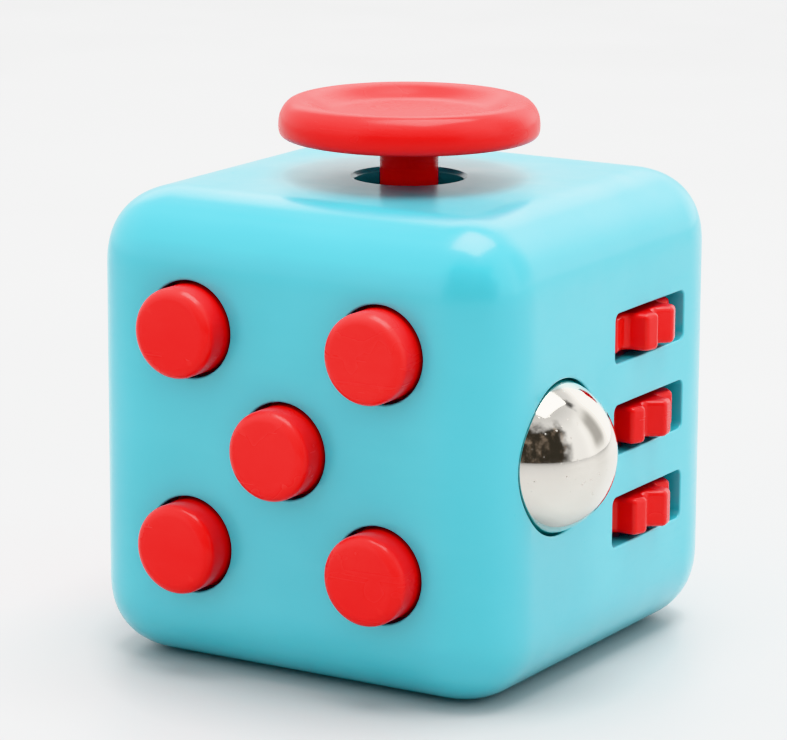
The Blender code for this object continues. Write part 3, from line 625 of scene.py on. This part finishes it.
def socket(edge, steps=160, arc=6):
    """Cutter for the ball's socket. Its mouth is rounded where the sphere meets the case's skin, flat or curved."""
    verts, rings = [], []
    for i in range(steps):
        a = 2 * math.pi * i / steps
        cy, cz = math.cos(a), math.sin(a)

        def skin(r):
            return outer_x(BALL[1] + r * cy, BALL[2] + r * cz)

        def slope(r):
            return (skin(r + 0.01) - skin(r - 0.01)) / 0.02

        # the rounding's centre is one edge radius below the skin and outside the sphere
        low, high = 3.0, 6.5
        for _ in range(60):
            r = (low + high) / 2
            s = slope(r)
            n = np.array((-s, 1.0)) / math.hypot(s, 1.0)
            centre = np.array((r, skin(r))) - edge * n
            gap = math.hypot(centre[0], centre[1] - BALL[0]) - (SOCKET_R + edge)
            if gap < 0:
                low = r
            else:
                high = r
        to_ball = np.array((0.0, BALL[0])) - centre
        to_ball /= np.linalg.norm(to_ball)
        a0, a1 = math.atan2(to_ball[1], to_ball[0]), math.atan2(n[1], n[0])
        if a0 < 0:
            a0 += 2 * math.pi
        profile = []
        touch = centre + edge * to_ball
        t0 = math.atan2(touch[1] - BALL[0], touch[0])
        for k in range(14):
            t = -math.pi / 2 + (t0 + math.pi / 2) * (k + 1) / 14
            profile.append((SOCKET_R * math.cos(t), BALL[0] + SOCKET_R * math.sin(t)))
        for k in range(1, arc + 1):
            t = a0 + (a1 - a0) * k / arc
            profile.append((centre[0] + edge * math.cos(t), centre[1] + edge * math.sin(t)))
        end = np.array(profile[-1]) + 0.004 * n
        profile[-1] = tuple(end)
        profile.append(tuple(end + 1.0 * n))
        rings.append([(x, BALL[1] + r * cy, BALL[2] + r * cz) for r, x in profile])
    count = len(rings[0])
    verts = [(BALL[0] - SOCKET_R, BALL[1], BALL[2])] + [p for ring in rings for p in ring]
    verts.append((HALF + 1.4, BALL[1], BALL[2]))
    faces = []
    for i in range(steps):
        j = (i + 1) % steps
        faces.append((0, 1 + i * count, 1 + j * count))
        for k in range(count - 1):
            faces.append((1 + i * count + k, 1 + i * count + k + 1, 1 + j * count + k + 1, 1 + j * count + k))
        faces.append((len(verts) - 1, 1 + j * count + count - 1, 1 + i * count + count - 1))
    return obj_from("socket", verts, faces)


cut(shell, socket(0.12))
finish_piece(shell, "main_shell_surface", "case", "main_shell", teal)

# ---- bottom cover ----
def cover_loops():
    out = []
    for k in range(6):
        a = math.pi / 2 * k / 5
        o = -0.2 * (1 - math.sin(a))
        out.append((11.4 + o, 2.4 + o, 0.2 * (1 - math.cos(a))))
    out += [(11.4, 2.4, 0.92), (11.37, 2.37, 0.98), (11.3, 2.3, 1.0), (10.4, 1.5, 1.0), (10.4, 1.5, 2.4), (10.2, 1.3, 2.6)]
    return [[(x, y, h) for x, y in rounded(-e, -e, e, e, r, 10)] for e, r, h in out]


cover = loft("cover", cover_loops())
catches = []
for side in (-1, 1):
    x0, x1, x2 = sorted((side * 9.8, side * 10.4, side * 10.9)) if side > 0 else (-9.8, -10.4, -10.9)
    ramp = [(x0, 1.9), (x1, 2.05), (x2, 2.15), (x2, 2.3), (x1, 2.5), (x0, 2.5)]
    catches.append(loft("catch", [[(x, y, z) for x, z in ramp] for y in (-3.0, 3.0)]))
join(cover, merge("catches", *catches))
dish_r, dish_depth, soft = 9.0, 1.5, 1.5
ball = (dish_r ** 2 + dish_depth ** 2) / (2 * dish_depth)
lean = math.asin(dish_r / ball)
reach = soft * math.tan(lean / 2)
edge_r = dish_r - reach * math.cos(lean)
dish = [(0.0, dish_depth)]
for k in range(1, 13):
    r = edge_r * k / 12
    dish.append((r, math.sqrt(ball ** 2 - r * r) - ball + dish_depth))
for k in range(1, 7):
    a = lean * (1 - k / 6)
    dish.append((dish_r + reach - soft * math.sin(a), soft * (1 - math.cos(a)) - (0.003 if k == 6 else 0.0)))
dish += [(dish_r + reach, -1.0), (0.0, -1.0)]
cut(cover, revolve("dish", dish, 128))
finish_piece(cover, "bottom_cover_surface", "case", "bottom_cover", teal)

# =====================================================================================
# Buttons and the domes behind them
# =====================================================================================
top = WALL + BUTTON_PROUD
flat_r = BUTTON_R - BUTTON_EDGE
button_profile = [(0.0, top)]
for k in range(1, 9):
    r = flat_r * k / 8
    button_profile.append((r, top - 0.05 * (r / flat_r) ** 2))
lean = math.radians(90) - 2 * 0.05 / flat_r
for k in range(1, 13):
    a = lean * (1 - k / 12)
    button_profile.append((flat_r + BUTTON_EDGE * math.cos(a), top - BUTTON_EDGE + (BUTTON_EDGE - 0.05) * math.sin(a)))
button_profile += [(BUTTON_R, 1.4), (BUTTON_R, 0.25), (BUTTON_R + 0.06, 0.0), (BUTTON_R + 0.2, -0.1), (3.82, -0.1), (3.9, -0.18), (3.9, -0.82), (3.82, -0.9), (1.25, -0.9), (1.12, -0.95), (1.02, -1.3), (0.9, -1.4), (0.0, -1.4)]
for spot, (x, z) in BUTTON_SPOTS.items():
    button = revolve(f"button_{spot}", button_profile, 112, at(x, -CAVITY, z) @ TO_FRONT)
    finish_piece(button, f"button_{spot}_surface", f"button_{spot}", f"button_{spot}", red)


def dome_profile(base_r, height, thick):
    ball = (base_r ** 2 + height ** 2) / (2 * height)
    reach = math.asin(base_r / ball)
    outer = [(ball * math.sin(reach * k / 10), ball * math.cos(reach * k / 10) - ball + height) for k in range(11)]
    inner = [((ball - thick) * math.sin(reach * k / 10), (ball - thick) * math.cos(reach * k / 10) - ball + height) for k in range(10, -1, -1)]
    inner[0] = (inner[0][0], 0.0)
    return outer + inner


for spot, (x, z) in BUTTON_SPOTS.items():
    place = at(x, -11.65, z) @ TO_FRONT
    if spot in ("top_left", "centre", "bottom_right"):
        node, mat, profile = f"click_dome_{spot}", spring, dome_profile(2.4, 1.35, 0.2)
    else:
        node, mat = f"silent_dome_{spot}", silicone
        profile = [(0.0, 1.35), (1.0, 1.35), (1.2, 1.31), (1.3, 1.15), (1.55, 0.9), (1.8, 0.62), (2.0, 0.45), (2.2, 0.37), (2.6, 0.35), (2.6, 0.0), (1.7, 0.0), (1.35, 0.3), (1.0, 0.6), (0.0, 0.7)]
    dome = revolve(node, profile, 48, place)
    finish_piece(dome, node + "_surface", "case", node, mat, weighted=False, weld=0.0004)
    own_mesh(dome)

# =====================================================================================
# Thumb stick
# =====================================================================================
rim = smooth_curve([(4.3, 37.50), (5.0, 37.51), (5.55, 37.60), (6.05, 37.79), (6.5, 38.00), (6.95, 38.20), (7.4, 38.335), (7.85, 38.39), (8.3, 38.28), (8.62, 38.04), (8.88, 37.69), (9.05, 37.28), (9.12, 36.84), (9.12, 36.42), (9.06, 36.10), (8.92, 35.90), (8.72, 35.81), (8.5, 35.8)], 4)
profile = [(0.0, 37.50), (1.5, 37.50), (3.0, 37.50)] + rim + [(6.0, 35.8), (4.0, 35.8), (2.16, 35.8), (2.07, 35.77), (2.04, 35.68), (2.04, 30.98), (1.98, 30.9), (0.7, 30.9), (0.7, 33.8), (0.0, 34.0)]
stick = revolve("stick", profile, 160)
finish_piece(stick, "joystick_cap_surface", "joystick", "joystick_cap", red)

# =====================================================================================
# Thumb wheels
# =====================================================================================
for (name, (z, phase)), above, below in zip(WHEELS.items(), ARMS, ARMS[1:]):
    corners = []
    for k in range(10):
        for a, r, c in ((-15.0, 4.40, 0.34), (-5.75, 5.50, 0.44), (5.75, 5.50, 0.44), (15.0, 4.40, 0.34)):
            t = math.radians(phase + 36 * k + a)
            corners.append((r * math.cos(t), r * math.sin(t), c))
    wheel = loft("wheel", edge_sections(soft_polygon(corners, 6), -1.3, 1.3, 0.36, 6), at(WHEEL_X, WHEEL_Y, z))
    join(wheel, rod("hub", (WHEEL_X, WHEEL_Y, below[1] + 0.1), (WHEEL_X, WHEEL_Y, above[0] - 0.1), 1.9, 40))
    cut(wheel, rod("bore", (WHEEL_X, WHEEL_Y, z - 6), (WHEEL_X, WHEEL_Y, z + 6), 0.88, 32))
    finish_piece(wheel, f"gear_{name}_surface", f"gear_{name}", f"gear_{name}", red_wheel)

# =====================================================================================
# Ball
# =====================================================================================
def quad_sphere(name, r, cells, centre, ripple):
    """A cube's grid blown up to a ball, with the slight unevenness of tumbled plating."""
    verts, index, faces = [], {}, []
    for axis in range(3):
        u, v = (axis + 1) % 3, (axis + 2) % 3
        for side in (-1, 1):
            grid = []
            for i in range(cells + 1):
                row = []
                for j in range(cells + 1):
                    d = [0.0, 0.0, 0.0]
                    d[axis] = float(side)
                    d[u] = math.tan(math.radians(-45 + 90 * i / cells))
                    d[v] = math.tan(math.radians(-45 + 90 * j / cells))
                    d = Vector(d).normalized()
                    key = tuple(round(c, 6) for c in d)
                    if key not in index:
                        index[key] = len(verts)
                        lift = ripple * (noise.noise(d * 2.2) + 0.35 * noise.noise(d * 6.0))
                        verts.append(d * (r + lift))
                    row.append(index[key])
                grid.append(row)
            for i in range(cells):
                for j in range(cells):
                    quad = (grid[i][j], grid[i + 1][j], grid[i + 1][j + 1], grid[i][j + 1])
                    faces.append(quad if side > 0 else quad[::-1])
    return obj_from(name, verts, faces, at(*centre))


ball_piece = quad_sphere("ball", BALL_R - 0.003, 56, BALL, 0.004)
finish_piece(ball_piece, "steel_ball_surface", "ball", "steel_ball", chrome, sharp=180, weighted=False, weld=0.0001)

dome = revolve("ball_dome", dome_profile(2.4, 1.4, 0.2), 48, at(5.05, BALL[1], BALL[2]) @ TO_RIGHT)
finish_piece(dome, "ball_click_dome_surface", "case", "ball_click_dome", spring, weighted=False, weld=0.0004)
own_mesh(dome)

# =====================================================================================
# Rocker
# =====================================================================================
half = 6.6
corners = []
for k in range(17):
    v = -half + 2 * half * k / 16
    corners.append((4.7 - 0.7 * (1 - (v / half) ** 2), v, 0.0 if 0 < k < 16 else 0.42))
ends = []
for k in range(9):
    u = 4.32 - (4.32 - 1.3) * k / 8
    ends.append((u, math.sqrt(ROCKER_ARC ** 2 - u ** 2), 0.0 if k else 0.30))
back = [(0.6, 7.7, 0.3), (-0.4, 1.7, 0.3)]
hub = [(1.4 * math.cos(math.radians(a)), 1.4 * math.sin(math.radians(a)), 0.0) for a in range(118, 243, 8)]
shape = corners + ends + back + hub + [(u, -v, c) for u, v, c in reversed(back)] + [(u, -v, c) for u, v, c in reversed(ends)]
c, s = math.cos(ROCKER_TILT), math.sin(ROCKER_TILT)
shape = [(u * c - v * s, u * s + v * c, r) for u, v, r in shape]
turn = Matrix(((0, 0, 1, 0), (1, 0, 0, ROCKER_Y), (0, 1, 0, MID), (0, 0, 0, 1)))
rocker = loft("rocker", edge_sections(soft_polygon(shape, 5), -ROCKER_HALF_W, ROCKER_HALF_W, 0.28, 5), turn)
cut(rocker, rod("bore", (-6, ROCKER_Y, MID), (6, ROCKER_Y, MID), 0.88, 32))
finish_piece(rocker, "rocker_surface", "rocker", "rocker", red)

# =====================================================================================
# Dial
# =====================================================================================
rim = smooth_curve([(4.6, 2.45), (5.4, 2.452), (5.9, 2.50), (6.4, 2.64), (6.9, 2.87), (7.4, 3.0), (7.85, 2.94), (8.25, 2.72), (8.60, 2.35), (8.83, 1.9), (8.95, 1.4), (9.03, 0.9), (9.08, 0.42)], 4)
profile = [(0.0, 2.45), (1.2, 2.45), (2.4, 2.45), (3.6, 2.45)] + rim + [(9.1, 0.36), (9.08, 0.32), (9.03, 0.3), (2.15, 0.3), (2.08, 0.27), (2.05, 0.2), (2.05, -2.02), (1.98, -2.1), (0.7, -2.1), (0.7, 0.6), (0.0, 0.8)]
dial = revolve("dial", profile, 160, at(-HALF, 0, MID) @ TO_LEFT)
deep_r, up = 2.92, 1.92
t_open = math.acos(up / deep_r)
dimple = [(0.0, up - deep_r)]
e = 0.3
# rounding between the dimple's sphere and the dial's flat
centre_r = math.sqrt((deep_r + e) ** 2 - (up + e) ** 2)
t_end = math.atan2(centre_r, up + e)
for k in range(1, 11):
    t = t_end * k / 10
    dimple.append((deep_r * math.sin(t), up - deep_r * math.cos(t)))
for k in range(1, 7):
    t = t_end * (1 - k / 6)
    dimple.append((centre_r - e * math.sin(t), -e + e * math.cos(t) + (0.003 if k == 6 else 0.0)))
dimple += [(centre_r, 1.0), (0.0, 1.0)]
cut(dial, revolve("dimple", dimple, 64, at(-HALF - 2.45, 0, MID + 3.6) @ TO_LEFT))
finish_piece(dial, "dial_surface", "dial", "dial", red)

# =====================================================================================
# Pieces that keep their CAD shape
# =====================================================================================
finishes = {
    "steel": (steel, ("screw", "pin", "shaft")),
    "spring": (spring, ("spring",)),
    "acetal": (acetal, ("backplate", "glide_slider", "glide_tray", "ball_cup", "dial_retainer")),
    "smoke": (smoke, ("joystick_foot", "gear_bracket", "ball_switch_plate", "rocker_bracket")),
    "silicone": (silicone, ("diaphragm", "silent_dome")),
}


def finish_for(name):
    if "screw" in name:
        return steel
    for mat, words in finishes.values():
        if any(w in name for w in words):
            return mat
    return red if any(w in name for w in ("button_", "gear_", "joystick", "rocker", "dial")) else teal


for name, obj in nodes.items():
    mat = finish_for(name)
    if not obj.material_slots:
        obj.data.materials.append(mat)
    for slot in obj.material_slots:
        slot.material = mat

# =====================================================================================
# Stage, light and camera
# =====================================================================================
t = Tree("pale_floor")
grain = t.noise(14.0, 3.0, 0.6, stretch=(1, 1, 1))
colour = t.mix(t.remap(grain, 0.3, 0.7, 0.0, 1.0), rgb(0.58, 0.58, 0.58), rgb(0.55, 0.55, 0.55))
floor_mat = t.finish(colour, t.remap(grain, 0.3, 0.7, 0.42, 0.52), t.bump(t.noise(700.0, 3.0), 0.15, 0.00003))
size = 3.0
floor = obj_from("floor", [(-size, -size, 0), (size, -size, 0), (size, size, 0), (-size, size, 0)], [(0, 1, 2, 3)])
floor.data.materials.append(floor_mat)


def area_light(name, location, target, size_x, size_y, power, tint=(1, 1, 1)):
    data = bpy.data.lights.new(name, "AREA")
    data.shape = "RECTANGLE"
    data.size, data.size_y = size_x, size_y
    data.energy = power
    data.color = tint
    obj = bpy.data.objects.new(name, data)
    scene.collection.objects.link(obj)
    obj.location = location
    obj.rotation_euler = (Vector(target) - Vector(location)).to_track_quat("-Z", "Y").to_euler()
    return obj


area_light("top_softbox", (0.0425, 0.045, 0.55), (0.0425, 0.045, 0.0), 0.36, 0.42, 3.2)

world = bpy.data.worlds.new("studio")
scene.world = world
world.use_nodes = True
wt = world.node_tree
wt.nodes.clear()


class Sky(Tree):
    def __init__(self):
        self.tree = wt
        self.coords = wt.nodes.new("ShaderNodeTexCoord").outputs["Generated"]


w = Sky()
split = w.node("ShaderNodeSeparateXYZ", {"Vector": w.coords})
x, y, z = split.outputs
elevation = w.math("MULTIPLY", w.math("ARCSINE", z), 180 / math.pi)
azimuth = w.math("MULTIPLY", w.math("ARCTAN2", y, x), 180 / math.pi)


def zone(az0, az1, el0, el1, soft=4.0):
    """1 inside a patch of sky between two azimuths (degrees from +X towards +Y) and two elevations."""
    m = w.math("MULTIPLY", w.remap(azimuth, az0 - soft, az0 + soft, 0.0, 1.0), w.remap(azimuth, az1 - soft, az1 + soft, 1.0, 0.0))
    m = w.math("MULTIPLY", m, w.remap(elevation, el0 - soft, el0 + soft, 0.0, 1.0))
    return w.math("MULTIPLY", m, w.remap(elevation, el1 - soft, el1 + soft, 1.0, 0.0))


lights = w.node("ShaderNodeLightPath")
room = rgb(1.22, 1.22, 1.22)
sky = w.mix(w.remap(elevation, 30.0, 70.0, 0.0, 1.0), room, rgb(0.80, 0.80, 0.80))
glossy = lights.outputs["Is Glossy Ray"]


def seen(mask):
    return w.math("MULTIPLY", mask, glossy)


sky = w.mix(zone(-181, -95, -20, 70, 8.0), sky, rgb(1.24, 1.24, 1.24))
sky = w.mix(zone(20, 100, -20, 40, 12.0), sky, rgb(1.75, 1.75, 1.75))
# what the gloss picks up: a bright wall behind, its top edge, and a grey wall on the right
sky = w.mix(seen(zone(96, 152, 18, 44, 7.0)), sky, rgb(2.9, 2.9, 2.9))
sky = w.mix(seen(zone(96, 146, -8, 15, 5.0)), sky, rgb(1.00, 1.00, 1.00))
sky = w.mix(seen(zone(92, 148, 46, 64, 6.0)), sky, rgb(0.40, 0.40, 0.40))
sky = w.mix(seen(zone(66, 92, -4, 40, 8.0)), sky, rgb(2.6, 2.6, 2.6))
sky = w.mix(seen(zone(30, 60, 2, 40, 10.0)), sky, rgb(0.60, 0.59, 0.57))
# the dark side of the studio shows in the ball with a ragged edge, and lends less light to the walls
even_azimuth, even_elevation = azimuth, elevation
azimuth = w.math("ADD", even_azimuth, w.remap(w.noise(4.0, 4.0, 0.6), 0.3, 0.7, -7.0, 7.0, False))
elevation = w.math("ADD", even_elevation, w.remap(w.noise(5.0, 4.0, 0.6, offset=(3.0, 1.0, 2.0)), 0.3, 0.7, -6.0, 6.0, False))
bits = w.remap(w.noise(5.0, 5.0, 0.7, stretch=(1.0, 1.0, 0.6), offset=(1.0, 5.0, 0)), 0.50, 0.72, 0.0, 1.0)
murk = w.mix(bits, rgb(0.085, 0.080, 0.074), rgb(0.46, 0.37, 0.30))
sky = w.mix(zone(-102, -14, -20, 50, 9.0), sky, w.mix(glossy, rgb(1.10, 1.10, 1.10), murk))
sky = w.mix(zone(44, 60, 46, 60, 5.0), sky, rgb(0.16, 0.16, 0.16))
back = w.mix(w.remap(elevation, -16.0, -1.0, 0.0, 1.0), rgb(0.72, 0.72, 0.72), rgb(1.20, 1.20, 1.20))
shown = w.mix(lights.outputs["Is Camera Ray"], sky, back)
bg = w.node("ShaderNodeBackground", {"Color": shown, "Strength": 1.0})
out = w.node("ShaderNodeOutputWorld")
wt.links.new(bg.outputs[0], out.inputs["Surface"])

camera_data = bpy.data.cameras.new("camera")
camera = bpy.data.objects.new("camera", camera_data)
scene.collection.objects.link(camera)
camera_data.sensor_width = 36.0
camera_data.lens = 182.95
camera_data.shift_x = 0.0148
camera_data.shift_y = 0.0101
camera_data.clip_start = 0.01
camera_data.clip_end = 20.0
right = Vector((0.8549, 0.5187, 0.0035)).normalized()
back_axis = Vector((0.505, -0.8337, 0.2234)).normalized()
up_axis = back_axis.cross(right).normalized()
right = up_axis.cross(back_axis).normalized()
turn = Matrix((right, up_axis, back_axis)).transposed().to_4x4()
camera.matrix_world = Matrix.Translation((0.1410, -0.23634, 0.08156)) @ turn
scene.camera = camera
scene.view_settings.view_transform = "Khronos PBR Neutral"
scene.view_settings.look = "None"
